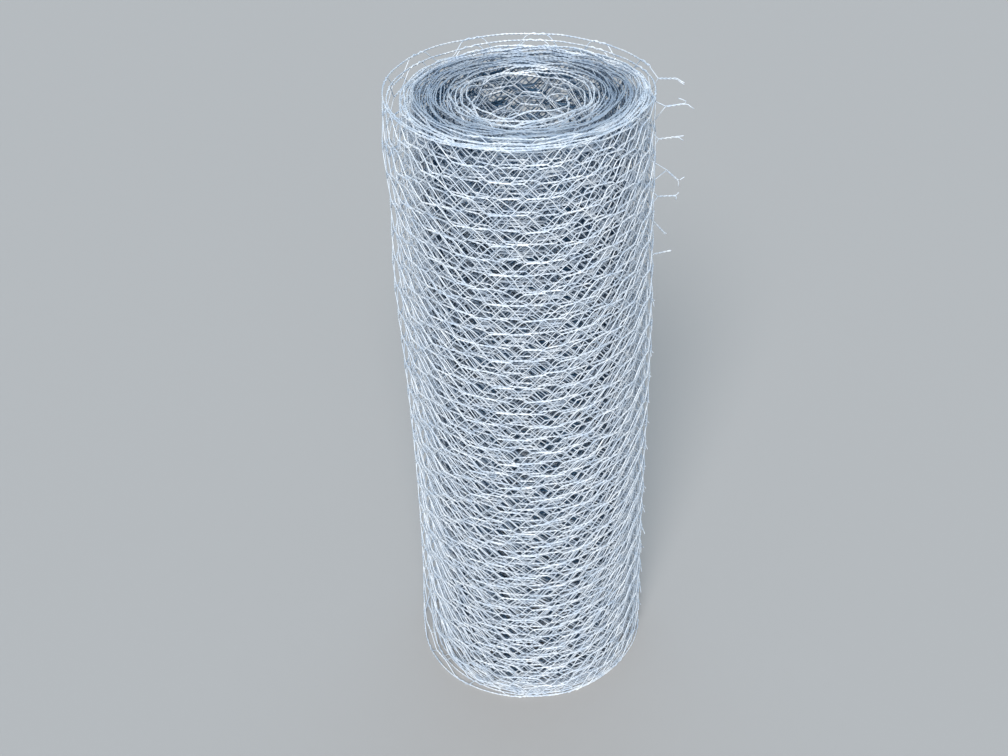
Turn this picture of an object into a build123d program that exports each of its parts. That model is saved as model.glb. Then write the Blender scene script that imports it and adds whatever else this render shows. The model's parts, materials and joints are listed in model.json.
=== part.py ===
import os
from math import atan2
from math import cos
from math import degrees
from math import radians
from math import sin
from math import tan

from build123d import *

os.makedirs("parts", exist_ok=True)

# A roll of hexagonal wire netting, standing on end. Millimetres, +Z up.
# The origin is the centre of the bore on the floor, and the cut end of the netting points to +X.

# Netting: what is woven and rolled
netting_width = 609.6
wire_diameter = 0.9
wire_sides = 6
mesh_rows = 22
twist_length = 16.5
diagonal_run = 18.0

# Packed turns: the tight part of the roll
bore_radius = 45.5
turn_count = 30
turn_pitch = 1.88
packed_drop = 4.5
dish_depth = 2.0
turn_stagger = 0.9

# Loose turns: the last two, sprung away from the packed ones
loose_direction = 132.0
inner_loose_radius = 108.7
outer_loose_radius = 112.0
contact_depth = 0.4
loose_top_fall = 1.0
gap_depth = 46.0

# Cut end: half meshes of the last column that spring out of the roll
cut_end_angle = 20.0
cut_end_lift = 62.0
free_meshes = 7
tail_length = 9.0
tail_spread = 24.0

# A twisted pair is two wires thick, and so is every turn at its twists
pair_diameter = 2 * wire_diameter
packed_radius = bore_radius + turn_count * turn_pitch
mesh_height = netting_width / mesh_rows


def turn_top(turn):
    """Height of a packed turn's upper edge: dished towards the bore, each turn off its neighbours."""
    inwards = 1 - (turn + 0.5) / turn_count
    uneven = (turn % 3 - 1) * turn_stagger
    return netting_width - packed_drop - dish_depth * inwards**2 + uneven


def turn_foot(turn):
    """Height of a packed turn's lower edge: one turn in five is a little off the floor."""
    return turn_stagger if turn % 5 == 2 else 0


def stepped_edge(turn_height):
    """Points along the packed turns' edges, from the bore outwards, with a step at each change of height."""
    points = [(bore_radius, turn_height(0))]
    for turn in range(1, turn_count):
        radius = bore_radius + turn * turn_pitch
        if turn_height(turn) != turn_height(turn - 1):
            points += [(radius, turn_height(turn - 1)), (radius, turn_height(turn))]
    return points + [(packed_radius, turn_height(turn_count - 1))]


def loose_centre(from_axis):
    """Centre of a loose turn, moved off the roll's axis in the direction in which it sprang."""
    return Vector(from_axis, 0).rotate(Axis.Z, loose_direction)


# Each loose turn bears on the one inside it, on the side away from where it sprang
inner_loose_offset = inner_loose_radius - pair_diameter - packed_radius + contact_depth
loose_turn_gap = outer_loose_radius - inner_loose_radius
outer_loose_offset = inner_loose_offset + loose_turn_gap - pair_diameter + contact_depth
inner_loose_centre = loose_centre(inner_loose_offset)
outer_loose_centre = loose_centre(outer_loose_offset)
contact_angle = loose_direction + 180
loose_middle_radius = outer_loose_radius - pair_diameter / 2

# The upper edge of the loose turns falls a little from the back of the roll to its front
top_slope = degrees(atan2(loose_top_fall, 2 * outer_loose_radius))
top_back = outer_loose_centre + Vector(0, outer_loose_radius, netting_width)
loose_top = Plane(origin=top_back, x_dir=(1, 0, 0), z_dir=Vector(0, 0, 1).rotate(Axis.X, top_slope))

# Where the cut end starts, and the way its wires point
end_radial = Vector(1, 0).rotate(Axis.Z, cut_end_angle)
end_start = outer_loose_centre + end_radial * loose_middle_radius
end_way = end_radial.rotate(Axis.Z, cut_end_lift - 90)
end_height = netting_width - (top_back.Y - end_start.Y) * tan(radians(top_slope))


def half_mesh(middle):
    """Wires of one open mesh at this height, each as start, end and diameter."""
    twist_start = end_start + end_way * diagonal_run + Vector(0, 0, middle)
    twist_end = twist_start + end_way * twist_length
    wires = [(twist_start, twist_end, pair_diameter)]
    for side in (-1, 1):
        root = end_start + Vector(0, 0, middle + side * (mesh_height / 2 - pair_diameter))
        tail_way = end_way * cos(radians(tail_spread)) + Vector(0, 0, side * sin(radians(tail_spread)))
        wires.append((root, twist_start, wire_diameter))
        wires.append((twist_end, twist_end + tail_way * tail_length, wire_diameter))
    return wires


with BuildPart() as netting_roll:
    # The packed turns, turned about the roll's axis with their edges as steps on both ends
    with BuildSketch(Plane.XZ):
        with BuildLine():
            Polyline(*stepped_edge(turn_top), *reversed(stepped_edge(turn_foot)), close=True)
        make_face()
    revolve(axis=Axis.Z)

    # The inner loose turn, a full round that bears on the packed turns
    with BuildSketch():
        with Locations(inner_loose_centre):
            Circle(inner_loose_radius)
            Circle(inner_loose_radius - pair_diameter, mode=Mode.SUBTRACT)
    extrude(amount=netting_width)

    # Below the gap at the upper end, the packed turns swell out as far as the inner loose one
    with BuildSketch():
        with Locations(inner_loose_centre):
            Circle(inner_loose_radius)
        Circle(packed_radius, mode=Mode.SUBTRACT)
    extrude(amount=netting_width - gap_depth)

    # The outer loose turn, from where it bears on the inner one round to the cut end
    with BuildSketch():
        with BuildLine():
            CenterArc(outer_loose_centre, loose_middle_radius, cut_end_angle, contact_angle - cut_end_angle)
        trace(line_width=pair_diameter)
    extrude(amount=netting_width)
    split(bisect_by=loose_top, keep=Keep.BOTTOM)

    # The cut end: two diagonals join in a twist, and the two wires of the twist end in short tails
    for row in range(free_meshes):
        for start, end, diameter in half_mesh(end_height - (row + 0.5) * mesh_height):
            with BuildSketch(Plane(origin=start, z_dir=end - start)):
                RegularPolygon(diameter / 2, wire_sides)
            extrude(amount=(end - start).length)

netting_roll.part.label = "netting_roll"
export_step(netting_roll.part, "parts/netting_roll.step")
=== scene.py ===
import json
from math import cos, pi, radians, sin

import bpy
import numpy as np
from mathutils import Matrix, Vector


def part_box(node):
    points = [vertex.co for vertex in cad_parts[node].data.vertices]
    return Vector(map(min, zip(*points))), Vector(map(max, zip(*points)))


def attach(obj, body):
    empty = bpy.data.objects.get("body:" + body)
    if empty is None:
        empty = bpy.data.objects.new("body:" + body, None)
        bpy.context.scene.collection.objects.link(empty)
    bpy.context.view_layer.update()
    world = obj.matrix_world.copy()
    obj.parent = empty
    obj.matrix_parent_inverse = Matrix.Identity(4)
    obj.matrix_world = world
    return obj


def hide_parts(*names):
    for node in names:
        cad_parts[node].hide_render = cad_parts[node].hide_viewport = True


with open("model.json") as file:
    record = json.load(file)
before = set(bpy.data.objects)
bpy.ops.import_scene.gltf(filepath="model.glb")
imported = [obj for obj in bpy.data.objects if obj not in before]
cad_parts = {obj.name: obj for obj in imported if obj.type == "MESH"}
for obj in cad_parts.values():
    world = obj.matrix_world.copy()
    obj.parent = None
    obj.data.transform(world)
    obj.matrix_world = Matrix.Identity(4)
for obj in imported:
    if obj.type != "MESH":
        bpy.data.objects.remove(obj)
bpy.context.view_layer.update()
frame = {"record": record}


# Inner turns
# The netting is woven flat from galvanised steel wires that run along it and are twisted together in pairs.
# It is wound up on end from its inner end, clockwise seen from above, and its first turns lie a little loose.
roll_low, roll_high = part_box("netting_roll")
netting_width = roll_high[2] - roll_low[2]
bore_mount = next(mount for mount in frame["record"]["mounts"] if mount["name"] == "bore")
bore_radius = bore_mount["dims"]["r_mm"] / 1000
wire_radius = 0.00042
pair_radius = 2 * wire_radius
turn_pitch = 0.00188
packed_turn_count = 30
packed_radius = bore_radius + packed_turn_count * turn_pitch

# The last two turns are circles off the roll's axis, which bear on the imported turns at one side
loose_direction = radians(132)
inner_loose_radius = 0.1078
inner_loose_offset = 0.0052
outer_loose_radius = 0.1111
outer_loose_offset = 0.0072
spring_out_angle = radians(50)
cut_end_angle = radians(20)

# How unevenly it was wound: the turns bunch into groups, and the first ones are slack and wander
bunch_depth = 0.0018
bunch_spacing = 0.0153
bunch_sway = 1.3
inner_slack = 0.3
slack_fade = 6
inner_end_lead = radians(54)
inner_end_reach = 0.006
inner_end_turning = 1.7 * pi
first_turns_shift = 0.004
shift_fade = 11
first_turns_wander = 0.0024
wander_fade = 16
wander_turning = 1.9
kink_depth = 0.0007
kink_length = 0.06
loose_wander = 0.0007


def eased(share):
    """0 to 1 with a soft start and end"""
    share = np.clip(share, 0, 1)
    return share * share * (3 - 2 * share)


def ripple(place, wavelength, seed):
    """Uneven smooth waves along a length, about 1 high"""
    draw = np.random.default_rng(seed)
    waves = 0
    for share in (1.0, 0.63, 0.41, 0.27):
        waves = waves + share * np.sin(2 * pi * place / (wavelength * share) + draw.uniform(0, 2 * pi))
    return waves / 1.9


def off_axis_circle(circle_radius, offset, angle):
    """Distance from the roll's axis to a circle that is moved towards the loose side"""
    from_loose = angle - loose_direction
    return offset * np.cos(from_loose) + np.sqrt(circle_radius**2 - (offset * np.sin(from_loose))**2)


# The winding, as points a degree apart, and on past the cut: how far it has turned, its radius, and the
# netting's length so far
packed_turning = packed_turn_count * 2 * pi
contact_angle = loose_direction + pi
cut_turning = packed_turning + 2 * pi + contact_angle - cut_end_angle
past_cut = radians(40)
one_step = radians(1)
turned = np.arange(-inner_end_lead, cut_turning + past_cut, one_step)
angle = contact_angle - turned
packed_share = np.clip(turned / packed_turning, 0, 1)
wound_share = (1 - inner_slack) * packed_share + inner_slack * (1 - (1 - packed_share)**slack_fade)
wound_radius = bore_radius + wire_radius + wound_share * (packed_radius - bore_radius - pair_radius)
bunching = np.sin(pi * packed_share)**0.5 * bunch_depth
bunch_place = 2 * pi * wound_radius / bunch_spacing + bunch_sway * np.sin(2 * angle) + angle
wound_radius = wound_radius + bunching * np.sin(bunch_place)
wound_radius = wound_radius - inner_end_reach * eased(1 - turned / inner_end_turning)
wound_radius = wound_radius - first_turns_shift * np.exp(-turned / shift_fade) * np.cos(angle)
wander = np.exp(-turned / wander_fade) * ripple(turned, wavelength=wander_turning, seed=2)
wound_radius = wound_radius + first_turns_wander * wander
rough_length = np.cumsum(wound_radius) * one_step
wound_radius = wound_radius + kink_depth * ripple(rough_length, wavelength=kink_length, seed=13)
inner_loose = off_axis_circle(inner_loose_radius, inner_loose_offset, angle)
outer_loose = off_axis_circle(outer_loose_radius, outer_loose_offset, angle)
on_inner_loose = eased((turned - packed_turning) / spring_out_angle)
on_outer_loose = eased((turned - packed_turning - 2 * pi) / spring_out_angle)
wound_radius = wound_radius + on_inner_loose * (inner_loose - wound_radius)
wound_radius = wound_radius + on_outer_loose * (outer_loose - wound_radius)
loose_wandering = ripple(turned, wavelength=wander_turning, seed=3)
wound_radius = wound_radius + on_inner_loose * loose_wander * loose_wandering
wound_x = wound_radius * np.cos(angle)
wound_y = wound_radius * np.sin(angle)
wound_length = np.append(0, np.cumsum(np.hypot(np.diff(wound_x), np.diff(wound_y))))
netting_length = np.interp(cut_turning, turned, wound_length)
way_x = np.gradient(wound_x, wound_length)
way_y = np.gradient(wound_y, wound_length)

# The netting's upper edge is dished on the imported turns, and no turn's edge is quite level with the next
packed_drop = 0.0045
packed_tilt = 0.0016
dish_depth = 0.002
edge_wave = 0.0018
edge_ripple = 0.002
turn_offset = 0.003
first_turns_ripple = 0.0035
packed_top = netting_width - packed_drop - dish_depth * (1 - packed_share)**2
packed_top = packed_top - packed_tilt * wound_y / packed_radius
packed_top = packed_top + edge_wave * ripple(wound_length, wavelength=0.43, seed=5)
packed_top = packed_top + edge_ripple * ripple(wound_length, wavelength=0.117, seed=6)
packed_top = packed_top + turn_offset * ripple(turned, wavelength=9.1, seed=12)
loosened_edge = np.exp(-turned / wander_fade) * ripple(wound_length, wavelength=0.11, seed=4)
packed_top = packed_top + first_turns_ripple * loosened_edge

# On the loose turns the edge falls from the back to the front, and the inner one's stands lower at the back
loose_top_fall = 0.001
loose_edge_ripple = 0.0007
inner_loose_drop = 0.0045
loose_back = outer_loose_offset * sin(loose_direction) + outer_loose_radius
loose_top = netting_width - loose_top_fall * (loose_back - wound_y) / (2 * outer_loose_radius)
loose_top = loose_top + loose_edge_ripple * ripple(wound_length, wavelength=0.19, seed=7)
loose_top = loose_top - inner_loose_drop * (1 - on_outer_loose) * eased(0.6 + wound_y / packed_radius)
upper_edge = packed_top + on_inner_loose * (loose_top - packed_top)

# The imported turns' lower edge lifts a little off the floor in places, and the rows of meshes rise and sag
lower_edge_lift = 0.0004
row_sag_depth = 0.0016
lift_share = 1 + np.tanh(ripple(wound_length, wavelength=0.29, seed=8))
lower_edge = (1 - on_inner_loose) * lower_edge_lift * lift_share
row_sag = row_sag_depth * ripple(wound_length, wavelength=0.61, seed=9)

# Below its upper end the roll is fuller: the outer packed turns lie out against the inner loose turn. How
# much they do fades towards the bore, by a power of how far out a turn lies.
spread_power = 5
bulge_power = 6
room = inner_loose - packed_radius - wire_radius
spread = room * packed_share**spread_power * (1 - on_inner_loose)
belly_top = netting_width - 0.02
belly_fade = 0.045
foot_fade = 0.05

# The outer turns swell out in places, each given as how far out, the height of its middle, and its reach
left_facing = radians(192)
right_facing = radians(-7)
upper_left_bulge = (0.0045, 0.563, 0.035)
middle_left_bulge = (0.0028, 0.45, 0.06)
foot_left_bulge = (0.0045, 0, 0.06)
right_bulge = (0.0025, 0.37, 0.09)
right_fullness = 0.002

# Shallow dents, each given as how deep, its waves in a round, its radians up a metre, and where it starts
wide_dents = (0.0006, 3, 11, 0)
small_dents = (0.0004, 5, -23, 1)
loose_dents = (0.0006, 2.3, 17, 2)

# Nothing of the wires wrapped round the selvedges reaches past the netting's width, not even their corners
edge_wrap_radius = 0.0008
corner_reach = 1.25 * wire_radius
edge_inset = edge_wrap_radius + corner_reach


def bulge(height, swell, middle, reach):
    """A soft swelling of the outer turns at one height"""
    return swell * np.exp(-((height - middle) / reach)**2)


def dented(faced, height, depth, waves_round, radians_up, start):
    """Shallow waves that run round the roll and up it"""
    return depth * np.sin(waves_round * faced + radians_up * height + start)


def one_side(angle, facing):
    """1 where the roll faces one way, fading to 0 a quarter of a round from there"""
    return np.maximum(0, np.cos(angle - facing))**2


def on_roll(along, aside, rise, out):
    """Point of the wound netting: so far along it, aside straight from there, up its width, and outwards"""
    step_x = np.interp(along, wound_length, way_x)
    step_y = np.interp(along, wound_length, way_y)
    width_share = rise / netting_width
    bottom = np.interp(along, wound_length, lower_edge) + edge_inset
    top = np.interp(along, wound_length, upper_edge) - edge_inset
    sag = np.interp(along, wound_length, row_sag) * np.sin(pi * np.clip(width_share, 0, 1))
    height = bottom + width_share * (top - bottom) + sag
    faced = np.interp(along, wound_length, angle)
    looseness = np.interp(along, wound_length, on_inner_loose)
    outermost = np.interp(along, wound_length, on_outer_loose)
    outerness = np.interp(along, wound_length, packed_share)**bulge_power
    below_top = eased((belly_top - height) / belly_fade)
    fullness = below_top * eased(0.5 + height / foot_fade)
    swell = fullness * np.interp(along, wound_length, spread)
    left_swell = bulge(height, *upper_left_bulge) + bulge(height, *middle_left_bulge)
    left_swell = left_swell + outermost * bulge(height, *foot_left_bulge)
    right_swell = right_fullness * below_top + bulge(height, *right_bulge)
    swell = swell + outerness * left_swell * one_side(faced, left_facing)
    swell = swell + outerness * right_swell * one_side(faced, right_facing)
    dent = dented(faced, height, *wide_dents) + dented(faced, height, *small_dents)
    dent = dent + looseness * dented(faced, height, *loose_dents)
    outwards = out + swell + dent
    x = np.interp(along, wound_length, wound_x) + step_x * aside - step_y * outwards
    y = np.interp(along, wound_length, wound_y) + step_y * aside + step_x * outwards
    return np.stack(np.broadcast_arrays(x, y, height), axis=-1)


# The weave: columns of twists, each set between the rows of the columns beside it. Every second column has
# twists round the selvedges too.
mesh_rows = 22
mesh_wire_count = 2 * mesh_rows
half_mesh = netting_width / mesh_rows / 2
twist_length = 0.0165
column_spacing = 0.029
twist_rounds = 2
bend_share = 0.13
bend_carry = 0.045
last_column = int((netting_length - twist_length) / column_spacing)
column_place = netting_length - twist_length / 2 - column_spacing * np.arange(last_column, -2, -1)

# The netting isn't stretched evenly along its length, so that the twists of one turn don't fall in line with
# those of the next
drift_reach = 0.012
drift_fade = 1.4
from_ends = eased(column_place / drift_fade) * eased((netting_length - column_place) / drift_fade)
column_place = column_place + drift_reach * from_ends * ripple(column_place, wavelength=3.7, seed=118)

# No twist is quite in its place, and the first turns are crushed further out of shape
hand = np.random.default_rng(11)
slip_shape = (last_column + 2, mesh_wire_count + 1)
smoothing_rounds = 4
stretch_along = 0.0013
stretch_up = 0.0008
own_slip_spread = 0.0005
own_slip_limit = 0.0012
tilt_spread = 0.045
crushed_more = 2.2
crushed_columns = 18


def slips(stretch):
    """How far twists are off their places: a smooth stretch of the netting, and a slip of each one's own"""
    field = hand.normal(0, 1, slip_shape)
    for _ in range(smoothing_rounds):
        for axis in (0, 1):
            field = field + np.roll(field, 1, axis) + np.roll(field, -1, axis)
    own_slip = hand.normal(0, own_slip_spread, slip_shape)
    return stretch * field / field.std() + np.clip(own_slip, -own_slip_limit, own_slip_limit)


slip_along = slips(stretch_along)
slip_up = slips(stretch_up)
slip_up[:, [0, mesh_wire_count]] = 0
twist_tilt = hand.normal(0, tilt_spread, slip_shape)
twist_tilt[:, [0, mesh_wire_count]] = 0
crushed = 1 + crushed_more * np.exp(-np.arange(last_column + 2) / crushed_columns)[:, None]
slip_along *= crushed
slip_up *= crushed
twist_tilt *= crushed


def woven_wires(first, last, wires, twist_steps, soft_bends=False):
    """Centre lines of mesh wires from one column's twists to the start of those after the last column"""
    column = np.arange(first, last + 2)[None, :, None]
    wire = np.asarray(wires)[:, None, None]
    step = np.arange(twist_steps + 1)[None, None, :] / twist_steps
    at_edges = (last_column - column) % 2 == 0
    row = np.where(at_edges, wire + wire % 2, wire - wire % 2 + 1)
    is_upper = np.where(at_edges, wire % 2 == 0, wire % 2 == 1)
    round_angle = 2 * pi * twist_rounds * step + np.where(is_upper, 0, pi)
    reach = np.where((row == 0) | (row == mesh_wire_count), edge_wrap_radius, wire_radius)
    slot = np.minimum(column, last_column + 1)
    aside = (step - 0.5) * twist_length + slip_along[slot, row]
    rise = row * half_mesh + slip_up[slot, row] + twist_tilt[slot, row] * aside + reach * np.cos(round_angle)
    points = on_roll(column_place[slot], aside, rise, reach * np.sin(round_angle))
    if not soft_bends:
        return points.reshape(len(wires), -1, 3)[:, :-twist_steps]
    leave = points[:, :-1, -1]
    meet = points[:, 1:, 0]
    twist_way = points[:, :, -1] - points[:, :, 0]
    after = leave + bend_share * (meet - leave) + bend_carry * twist_way[:, :-1]
    before = meet - bend_share * (meet - leave) - bend_carry * twist_way[:, 1:]
    whole = np.concatenate([points[:, :-1], after[:, :, None], before[:, :, None]], axis=2)
    return np.concatenate([whole.reshape(len(wires), -1, 3), points[:, -1, :1]], axis=1)


def round_wires(lines, radius, sides):
    """Corners and faces of round wires along their centre lines, with closed ends and their full girth"""
    way = np.gradient(lines, axis=1)
    way /= np.linalg.norm(way, axis=2, keepdims=True)
    outwards = lines * (1, 1, 0)
    outwards /= np.linalg.norm(outwards, axis=2, keepdims=True)
    across = outwards - way * np.sum(outwards * way, axis=2, keepdims=True)
    across /= np.linalg.norm(across, axis=2, keepdims=True)
    upwards = np.cross(way, across)
    corner = (2 * pi * np.arange(sides) / sides)[:, None]
    ring = np.cos(corner) * across[:, :, None] + np.sin(corner) * upwards[:, :, None]
    corner_radius = radius * pi / (sides * sin(pi / sides))
    corners = lines[:, :, None] + corner_radius * ring
    line_count, point_count = lines.shape[:2]
    number = np.arange(line_count * point_count * sides).reshape(line_count, point_count, sides)
    beside = np.roll(number, -1, axis=2)
    skin = np.stack([number[:, :-1], beside[:, :-1], beside[:, 1:], number[:, 1:]], axis=-1).reshape(-1, 4)
    ends = np.concatenate([number[:, 0, ::-1], number[:, -1]])
    return corners.reshape(-1, 3), [skin, ends]


def wire_piece(name, groups):
    """One object of several groups of wires, smooth shaded, set in the roll"""
    corners = np.concatenate([group[0] for group in groups])
    faces = []
    offset = 0
    for group_corners, group_faces in groups:
        faces += [part + offset for part in group_faces]
        offset += len(group_corners)
    corner_counts = np.concatenate([np.full(len(part), part.shape[1]) for part in faces])
    mesh = bpy.data.meshes.new(name)
    mesh.vertices.add(len(corners))
    mesh.vertices.foreach_set("co", corners.ravel())
    mesh.loops.add(int(corner_counts.sum()))
    mesh.loops.foreach_set("vertex_index", np.concatenate([part.ravel() for part in faces]))
    mesh.polygons.add(len(corner_counts))
    mesh.polygons.foreach_set("loop_start", np.append(0, np.cumsum(corner_counts)[:-1]))
    mesh.polygons.foreach_set("use_smooth", np.ones(len(corner_counts), bool))
    mesh.update(calc_edges=True)
    mesh.materials.append(zinc)
    piece = bpy.data.objects.new(name, mesh)
    bpy.context.collection.objects.link(piece)
    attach(piece, "root")
    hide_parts("netting_roll")


def add_node(tree, kind, inputs=None, **settings):
    """A shader node with its settings and the values or links of its inputs"""
    node = tree.nodes.new(kind)
    for key, value in settings.items():
        setattr(node, key, value)
    for key, value in (inputs or {}).items():
        if isinstance(value, bpy.types.NodeSocket):
            tree.links.new(value, node.inputs[key])
        else:
            node.inputs[key].default_value = value
    return node


def colour_ramp(tree, share, low_place, low_colour, high_place, high_colour):
    """Socket of a colour that runs from one to another between two places of a share"""
    ramp = add_node(tree, "ShaderNodeValToRGB", {"Fac": share})
    low, high = ramp.color_ramp.elements
    low.position = low_place
    low.color = (*low_colour, 1)
    high.position = high_place
    high.color = (*high_colour, 1)
    return ramp.outputs["Color"]


def mixed(tree, share, first, second_colour, **settings):
    """Socket of one colour with a second one mixed in by a share"""
    mix = add_node(tree, "ShaderNodeMix", data_type="RGBA", **settings)
    tree.links.new(share, mix.inputs["Factor"])
    tree.links.new(first, mix.inputs["A"])
    mix.inputs["B"].default_value = (*second_colour, 1)
    return mix.outputs["Result"]


def zinc_coating():
    """Galvanised wire: satin zinc, duller in patches, grained, with a few rust spots and painted shade inside
    the roll
    """
    dull_zinc = (0.63, 0.72, 0.83)
    bright_zinc = (0.93, 0.96, 0.99)
    rust_brown = (0.55, 0.40, 0.30)
    deep_shade = (0.09, 0.195, 0.31)
    material = bpy.data.materials.new("zinc_coated_wire")
    material.use_nodes = True
    tree = material.node_tree
    shader = tree.nodes["Principled BSDF"]
    place = add_node(tree, "ShaderNodeTexCoord").outputs["Object"]
    patches = add_node(tree, "ShaderNodeTexNoise", {"Vector": place, "Scale": 90, "Detail": 4})
    grain = add_node(tree, "ShaderNodeTexNoise", {"Vector": place, "Scale": 1400, "Detail": 2})
    spots = add_node(tree, "ShaderNodeTexNoise",
                     {"Vector": place, "Scale": 33, "Detail": 5, "Roughness": 0.7})
    coat = colour_ramp(tree, patches.outputs["Fac"], 0.32, dull_zinc, 0.66, bright_zinc)
    rust = colour_ramp(tree, spots.outputs["Fac"], 0.68, (0, 0, 0), 0.76, (0.8, 0.8, 0.8))
    colour = mixed(tree, rust, coat, rust_brown)

    # Painted shade: the zinc is darkened towards a deep blue inside the roll and below its upper end, but not
    # beside the bore
    axes = add_node(tree, "ShaderNodeSeparateXYZ", {"Vector": place})
    flat = add_node(tree, "ShaderNodeCombineXYZ", {"X": axes.outputs["X"], "Y": axes.outputs["Y"]})
    from_middle = add_node(tree, "ShaderNodeVectorMath", {0: flat.outputs["Vector"], 1: loose_middle},
                           operation="DISTANCE")
    inwards = add_node(tree, "ShaderNodeMapRange",
                       {"Value": from_middle.outputs["Value"],
                        "From Min": packed_radius - 0.006, "From Max": packed_radius - 0.024},
                       interpolation_type="SMOOTHSTEP")
    downwards = add_node(tree, "ShaderNodeMapRange",
                         {"Value": axes.outputs["Z"], "From Min": netting_width - 0.0065,
                          "From Max": netting_width - 0.017, "To Min": 0.45})
    from_axis = add_node(tree, "ShaderNodeVectorMath", {0: flat.outputs["Vector"]}, operation="LENGTH")
    from_bore = add_node(tree, "ShaderNodeMapRange",
                         {"Value": from_axis.outputs["Value"],
                          "From Min": bore_radius + 0.013, "From Max": bore_radius + 0.029})
    shade_inside_roll = add_node(tree, "ShaderNodeMath",
                       {0: inwards.outputs["Result"], 1: downwards.outputs["Result"]},
                       operation="MINIMUM")
    painted_shade_share = add_node(tree, "ShaderNodeMath",
                        {0: shade_inside_roll.outputs["Value"], 1: from_bore.outputs["Result"]},
                        operation="MINIMUM")
    # Painted shade: the coat's colour is multiplied towards deep_shade by that share
    painted_shade_colour = mixed(tree, painted_shade_share.outputs["Value"], colour, deep_shade, blend_type="MULTIPLY")
    tree.links.new(painted_shade_colour, shader.inputs["Base Color"])
    rough = add_node(tree, "ShaderNodeMapRange",
                     {"Value": grain.outputs["Fac"], "To Min": 0.5, "To Max": 0.7})
    tree.links.new(rough.outputs["Result"], shader.inputs["Roughness"])
    bump = add_node(tree, "ShaderNodeBump",
                    {"Height": grain.outputs["Fac"], "Strength": 0.35, "Distance": 0.0002})
    tree.links.new(bump.outputs["Normal"], shader.inputs["Normal"])
    shader.inputs["Metallic"].default_value = 0.3
    return material


half_offset = inner_loose_offset / 2
loose_middle = (half_offset * cos(loose_direction), half_offset * sin(loose_direction), 0)
zinc = zinc_coating()
inner_turn_count = 2
every_wire = range(mesh_wire_count)


def column_after(turns):
    """First column past so many turns from the inner end"""
    length = np.interp(turns * 2 * pi, turned, wound_length)
    return int(np.searchsorted(column_place, length))


inner_last = column_after(inner_turn_count) - 1
inner_wires = woven_wires(0, inner_last, every_wire, twist_steps=8)

# The inner end was snipped off, and its wires curl into the bore, the upper ones up to twice as far round
curl_steps = np.linspace(0, 1, 15)[None, :, None]
curled_more_from = 34
curled_more_fade = 4
curled_more = 1 + eased((np.arange(mesh_wire_count) - curled_more_from) / curled_more_fade)
back_way = -np.array([way_x[0], way_y[0], 0])
bore_way = np.array([way_y[0], -way_x[0], 0])
lean = hand.uniform(-0.3, 1.7, mesh_wire_count)[:, None, None]
curl_way = np.cos(lean) * bore_way + np.sin(lean) * np.array([0, 0, 1])
curl_radius = hand.uniform(0.004, 0.009, mesh_wire_count)[:, None, None]
curled_angle = curled_more * hand.uniform(2.4, 5.6, mesh_wire_count)
curl_angle = curl_steps * curled_angle[:, None, None]
curl = np.sin(curl_angle) * back_way + (1 - np.cos(curl_angle)) * curl_way
curls = inner_wires[:, :1] + curl_radius * curl
inner_lines = np.concatenate([curls[:, :0:-1], inner_wires], axis=1)
wire_piece("inner_turns", [round_wires(inner_lines, wire_radius, sides=3)])


# Deep turns
# The same netting, wound on so close that only its upper meshes show well. Further down each twist is one
# bar nearly as thick as a pair, and the wires between the twists are a little stouter, which closes the roll
# to view as its tangle of small kinks does.
bar_radius = 0.00073
stout_radius = 0.00053
shown_rows = 2
deep_turn_end = 23
plain_wire_count = mesh_wire_count - 2 * shown_rows


def plain_wires(first, last):
    """Bars for the twists of some columns and the slanting wires between them, below the rows that show"""
    ends = woven_wires(first, last, range(plain_wire_count), twist_steps=1)
    pairs = ends[:, :-1].reshape(plain_wire_count, -1, 2, 3)
    slants = np.stack([ends[:, 1:-1:2], ends[:, 2::2]], axis=2).reshape(-1, 2, 3)
    middles = []
    for column in range(first, last + 1):
        at_edges = (last_column - column) % 2 == 0
        lower = pairs[(1 if at_edges else 0):plain_wire_count - 1:2, column - first]
        upper = pairs[(2 if at_edges else 1):plain_wire_count:2, column - first]
        middles.append((lower + upper) / 2)
    bars = round_wires(np.concatenate(middles), bar_radius, sides=3)
    return [bars, round_wires(slants, stout_radius, sides=3)]


def deep_turns(name, first, last):
    """A piece of packed turns with full weave along its upper edge"""
    top_wires = woven_wires(first, last, range(plain_wire_count, mesh_wire_count), twist_steps=8)
    wire_piece(name, plain_wires(first, last) + [round_wires(top_wires, wire_radius, sides=3)])


deep_first = inner_last + 1
deep_last = column_after(deep_turn_end) - 1
deep_middle = (deep_first + deep_last) // 2
deep_turns("deep_turns_inner_half", deep_first, deep_middle)
deep_turns("deep_turns_outer_half", deep_middle + 1, deep_last)


# Near turns
# The same netting a few turns further out, held close by the turns round it. It is seen through their meshes,
# so its twists are woven in full, a third of a round at a step.
near_turn_end = 27
near_last = column_after(near_turn_end) - 1
near_middle = (deep_last + near_last) // 2


def full_turns(name, first, last, twist_steps, sides, soft_bends=False):
    """A piece of turns with all of their wires woven in full"""
    wires = woven_wires(first, last, every_wire, twist_steps, soft_bends)
    wire_piece(name, [round_wires(wires, wire_radius, sides)])


full_turns("near_turns_inner_half", deep_last + 1, near_middle, twist_steps=6, sides=3)
full_turns("near_turns_outer_half", near_middle + 1, near_last, twist_steps=6, sides=3)


# Outer packed turns
# The last turns that were wound tight, and the surface that most of the roll shows. Their wires leave the
# twists in soft bends.
outer_last = column_after(packed_turn_count) - 1
full_turns("outer_packed_turns", near_last + 1, outer_last, twist_steps=8, sides=3, soft_bends=True)


# Loose turns
# The last two turns have sprung away from the roll at the back and on the left, and stand clear of it there.
# The outer one ends where its last whole twists do, and the wires of the cut end go on from them.
loose_last = column_after(packed_turn_count + 1) - 1
full_turns("inner_loose_turn", outer_last + 1, loose_last, twist_steps=12, sides=4, soft_bends=True)
points_past_twist = 3
outer_wires = woven_wires(loose_last + 1, last_column, every_wire, twist_steps=12, soft_bends=True)
outer_wires = outer_wires[:, :-points_past_twist]
wire_piece("outer_loose_turn", [round_wires(outer_wires, wire_radius, sides=4)])


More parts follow.
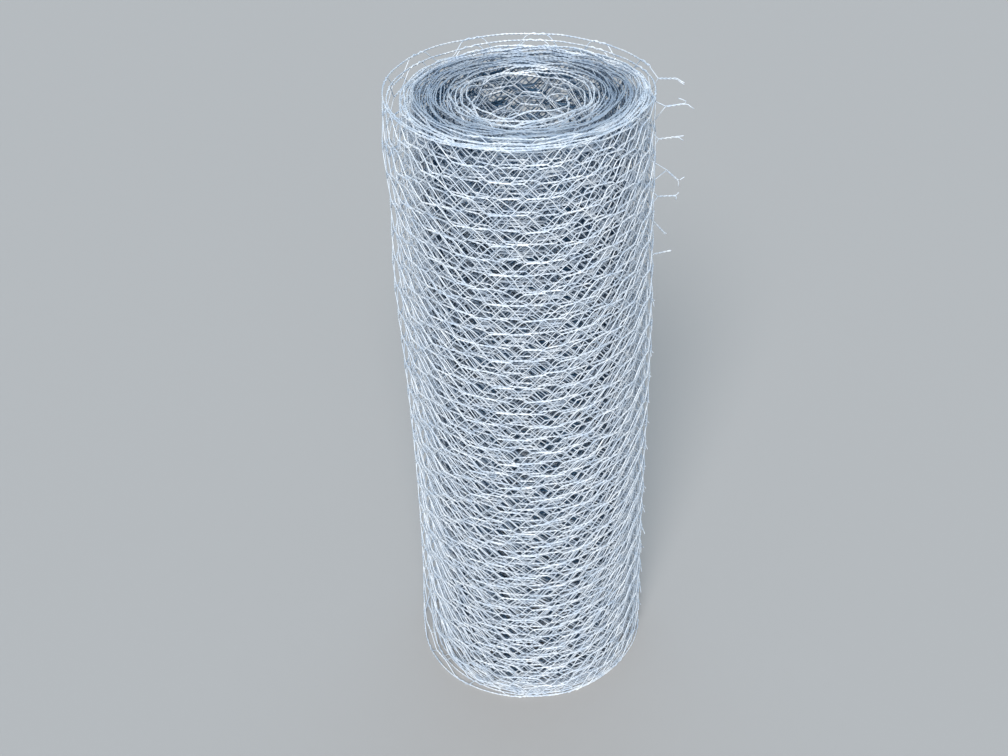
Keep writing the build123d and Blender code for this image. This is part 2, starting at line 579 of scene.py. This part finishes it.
# Cut end
# Where the netting was cut off, pairs of its wires join in a last twist each and end in two short tails. The
# upper ones have sprung out of the roll, each its own way, and the lower ones lie along it.
lying_run = 0.0125
lying_tail = 0.0075
tail_share = np.array([0.3, 0.65, 1])
tail_bend_share = np.array([0.5, 1, 1.1])
twist_points = 13
twist_round_angle = 2 * pi * twist_rounds * np.linspace(0, 1, twist_points)
twist_along = np.linspace(0, twist_length, twist_points)

# The sprung rows from the top down: the way each twist faces and its slope in degrees, how far out and how
# far up from the last whole twists it starts in millimetres, the bends of its lower and its upper tail in
# degrees, and their length in millimetres
sprung_rows = [
    (-39, 14, 8.8, 3.5, 25, -20, 10),
    (-4, 9, 14.5, 4, 33, 120, 8),
    (4, 4, 9, 3, 30, 5, 5.5),
    (19, -46, 26.6, 17.4, 31, 58, 5.5),
    (10, -4, 10, 2.5, 70, 45, 3.5),
    (22, -51, 13.5, 13.5, 4, 12, 2),
    (22, -2, 7, 0, 12, -8, 2),
]
end_lines = []
for row in range(mesh_rows):
    lower_wire = 2 * (mesh_rows - 1 - row)
    roots = outer_wires[lower_wire:lower_wire + 2, -1]
    for side in (0, 1):
        turn_side = 2 * side - 1
        twist_up = turn_side * wire_radius * np.cos(twist_round_angle)
        twist_out = turn_side * wire_radius * np.sin(twist_round_angle)
        length = lying_tail * hand.uniform(0.8, 1.2)
        if row < len(sprung_rows):
            facing, slope, start_run, start_rise, *tail_bends, tail_length = sprung_rows[row]
            bend = radians(tail_bends[side])
            length = tail_length / 1000 * hand.uniform(0.9, 1.1)
        else:
            bend = radians(hand.uniform(5, 35))
        bends = bend * tail_bend_share
        along = np.append(twist_along, twist_length + tail_share * length * np.cos(bends))
        up = np.append(twist_up, turn_side * (wire_radius + tail_share * length * np.sin(bends)))
        out = np.append(twist_out, tail_share * length * hand.uniform(-0.1, 0.3))
        if row < len(sprung_rows):
            facing = radians(facing)
            slope = radians(slope)
            way = np.array([cos(facing) * cos(slope), sin(facing) * cos(slope), sin(slope)])
            lift = np.array([-cos(facing) * sin(slope), -sin(facing) * sin(slope), cos(slope)])
            twist_start = roots.mean(axis=0) + way * start_run / 1000 + np.array([0, 0, start_rise / 1000])
            shape = along[:, None] * way + up[:, None] * lift + out[:, None] * np.cross(way, lift)
            line = twist_start + shape
        else:
            rise = (lower_wire + 1) * half_mesh + up
            line = on_roll(netting_length + lying_run + along, 0, rise, out)
        end_lines.append(np.concatenate([roots[side:side + 1], line]))
wire_piece("cut_end", [round_wires(np.array(end_lines), wire_radius, sides=5)])


# Selvedges
# Two more wires run along each edge of the netting, twisted together, and the outermost mesh wires are
# wrapped round them at every second column of twists.
selvedge_half_round = 0.0041
edge_sway_depth = 0.0003


def selvedge(name, rise, seed, plain_length):
    """The two wires of one edge of the netting, with fewer points over its first, hidden length"""
    plain_points = np.arange(0, plain_length, 2 * selvedge_half_round)
    fine_points = np.arange(plain_length, netting_length, 2 * selvedge_half_round / 3)
    place = np.concatenate([plain_points, fine_points])
    edge_sway = edge_sway_depth * ripple(place, 2 * column_spacing, seed)
    lines = []
    for start_angle in (0, pi):
        round_angle = pi * place / selvedge_half_round + start_angle
        height = rise + wire_radius * np.cos(round_angle) + edge_sway
        lines.append(on_roll(place, 0, height, wire_radius * np.sin(round_angle)))
    wire_piece(name, [round_wires(np.array(lines), wire_radius, sides=3)])


selvedge("upper_selvedge", rise=netting_width, seed=21, plain_length=0)
selvedge("lower_selvedge", rise=0, seed=22, plain_length=column_place[near_last])


# Floor
# A plain pale sheet of studio paper, which the roll stands on and which isn't part of it. It is wide enough
# to fill the camera's view.
def studio_paper():
    """Even pale grey paper"""
    material = bpy.data.materials.new("studio_paper")
    material.use_nodes = True
    shader = material.node_tree.nodes["Principled BSDF"]
    shader.inputs["Base Color"].default_value = (0.415, 0.40, 0.387, 1)
    shader.inputs["Roughness"].default_value = 0.9
    return material


floor_half = 6
floor_mesh = bpy.data.meshes.new("floor")
floor_mesh.from_pydata([(-floor_half, -floor_half, 0), (floor_half, -floor_half, 0),
                        (floor_half, floor_half, 0), (-floor_half, floor_half, 0)], [], [(0, 1, 2, 3)])
floor_mesh.materials.append(studio_paper())
floor = bpy.data.objects.new("floor", floor_mesh)
bpy.context.collection.objects.link(floor)


# Lights
# A soft lamp far in front of the roll and above it, a weak softer one lower down, a bluish one behind the
# roll, and even bluish light all round.
def far_lamp(name, facing, height, softness, colour, strength):
    """A lamp far off, which lights the roll and the floor evenly, all angles in degrees"""
    light = bpy.data.lights.new(name, "SUN")
    light.angle = radians(softness)
    light.color = colour
    light.energy = strength
    lamp = bpy.data.objects.new(name, light)
    lamp.rotation_euler = (0, radians(90 - height), radians(facing))
    bpy.context.collection.objects.link(lamp)


white = (1, 1, 1)
lamp_blue = (0.55, 0.78, 1.0)
sky_blue = (0.68, 0.85, 1.0)
sky_strength = 0.40
far_lamp("front_lamp", facing=-96, height=43, softness=26, colour=white, strength=3.1)
far_lamp("front_fill_lamp", facing=-90, height=24, softness=50, colour=white, strength=0.4)
far_lamp("back_lamp", facing=84, height=55, softness=60, colour=lamp_blue, strength=0.7)
world = bpy.data.worlds.new("studio")
bpy.context.scene.world = world
world.use_nodes = True
world.node_tree.nodes["Background"].inputs["Color"].default_value = (*sky_blue, 1)
world.node_tree.nodes["Background"].inputs["Strength"].default_value = sky_strength


# Camera
# It stands in front of the roll, held about half a metre above its top, and looks down on it, as the
# photograph was taken.
photo_width = 1008
focal_pixels = 1350
film_width = 36
camera_distance = 1.017
camera_height = 1.061
look_down = radians(36.16)
look_left = radians(1.18)
camera_roll = radians(-2.09)
forward = Vector((-sin(look_left) * cos(look_down), cos(look_left) * cos(look_down), -sin(look_down)))
level_right = Vector((cos(look_left), sin(look_left), 0))
level_up = level_right.cross(forward)
camera_right = cos(camera_roll) * level_right + sin(camera_roll) * level_up
camera_up = -sin(camera_roll) * level_right + cos(camera_roll) * level_up
view = bpy.data.cameras.new("camera")
view.sensor_width = film_width
view.lens = focal_pixels / photo_width * film_width
camera = bpy.data.objects.new("camera", view)
loose_centre = Vector((cos(loose_direction), sin(loose_direction), 0)) * outer_loose_offset
camera_place = Matrix.Translation(loose_centre + Vector((0, -camera_distance, camera_height)))
camera_turn = Matrix((camera_right, camera_up, -forward)).transposed().to_4x4()
camera.matrix_world = camera_place @ camera_turn
bpy.context.collection.objects.link(camera)
bpy.context.scene.camera = camera
bpy.context.scene.view_settings.view_transform = "Standard"
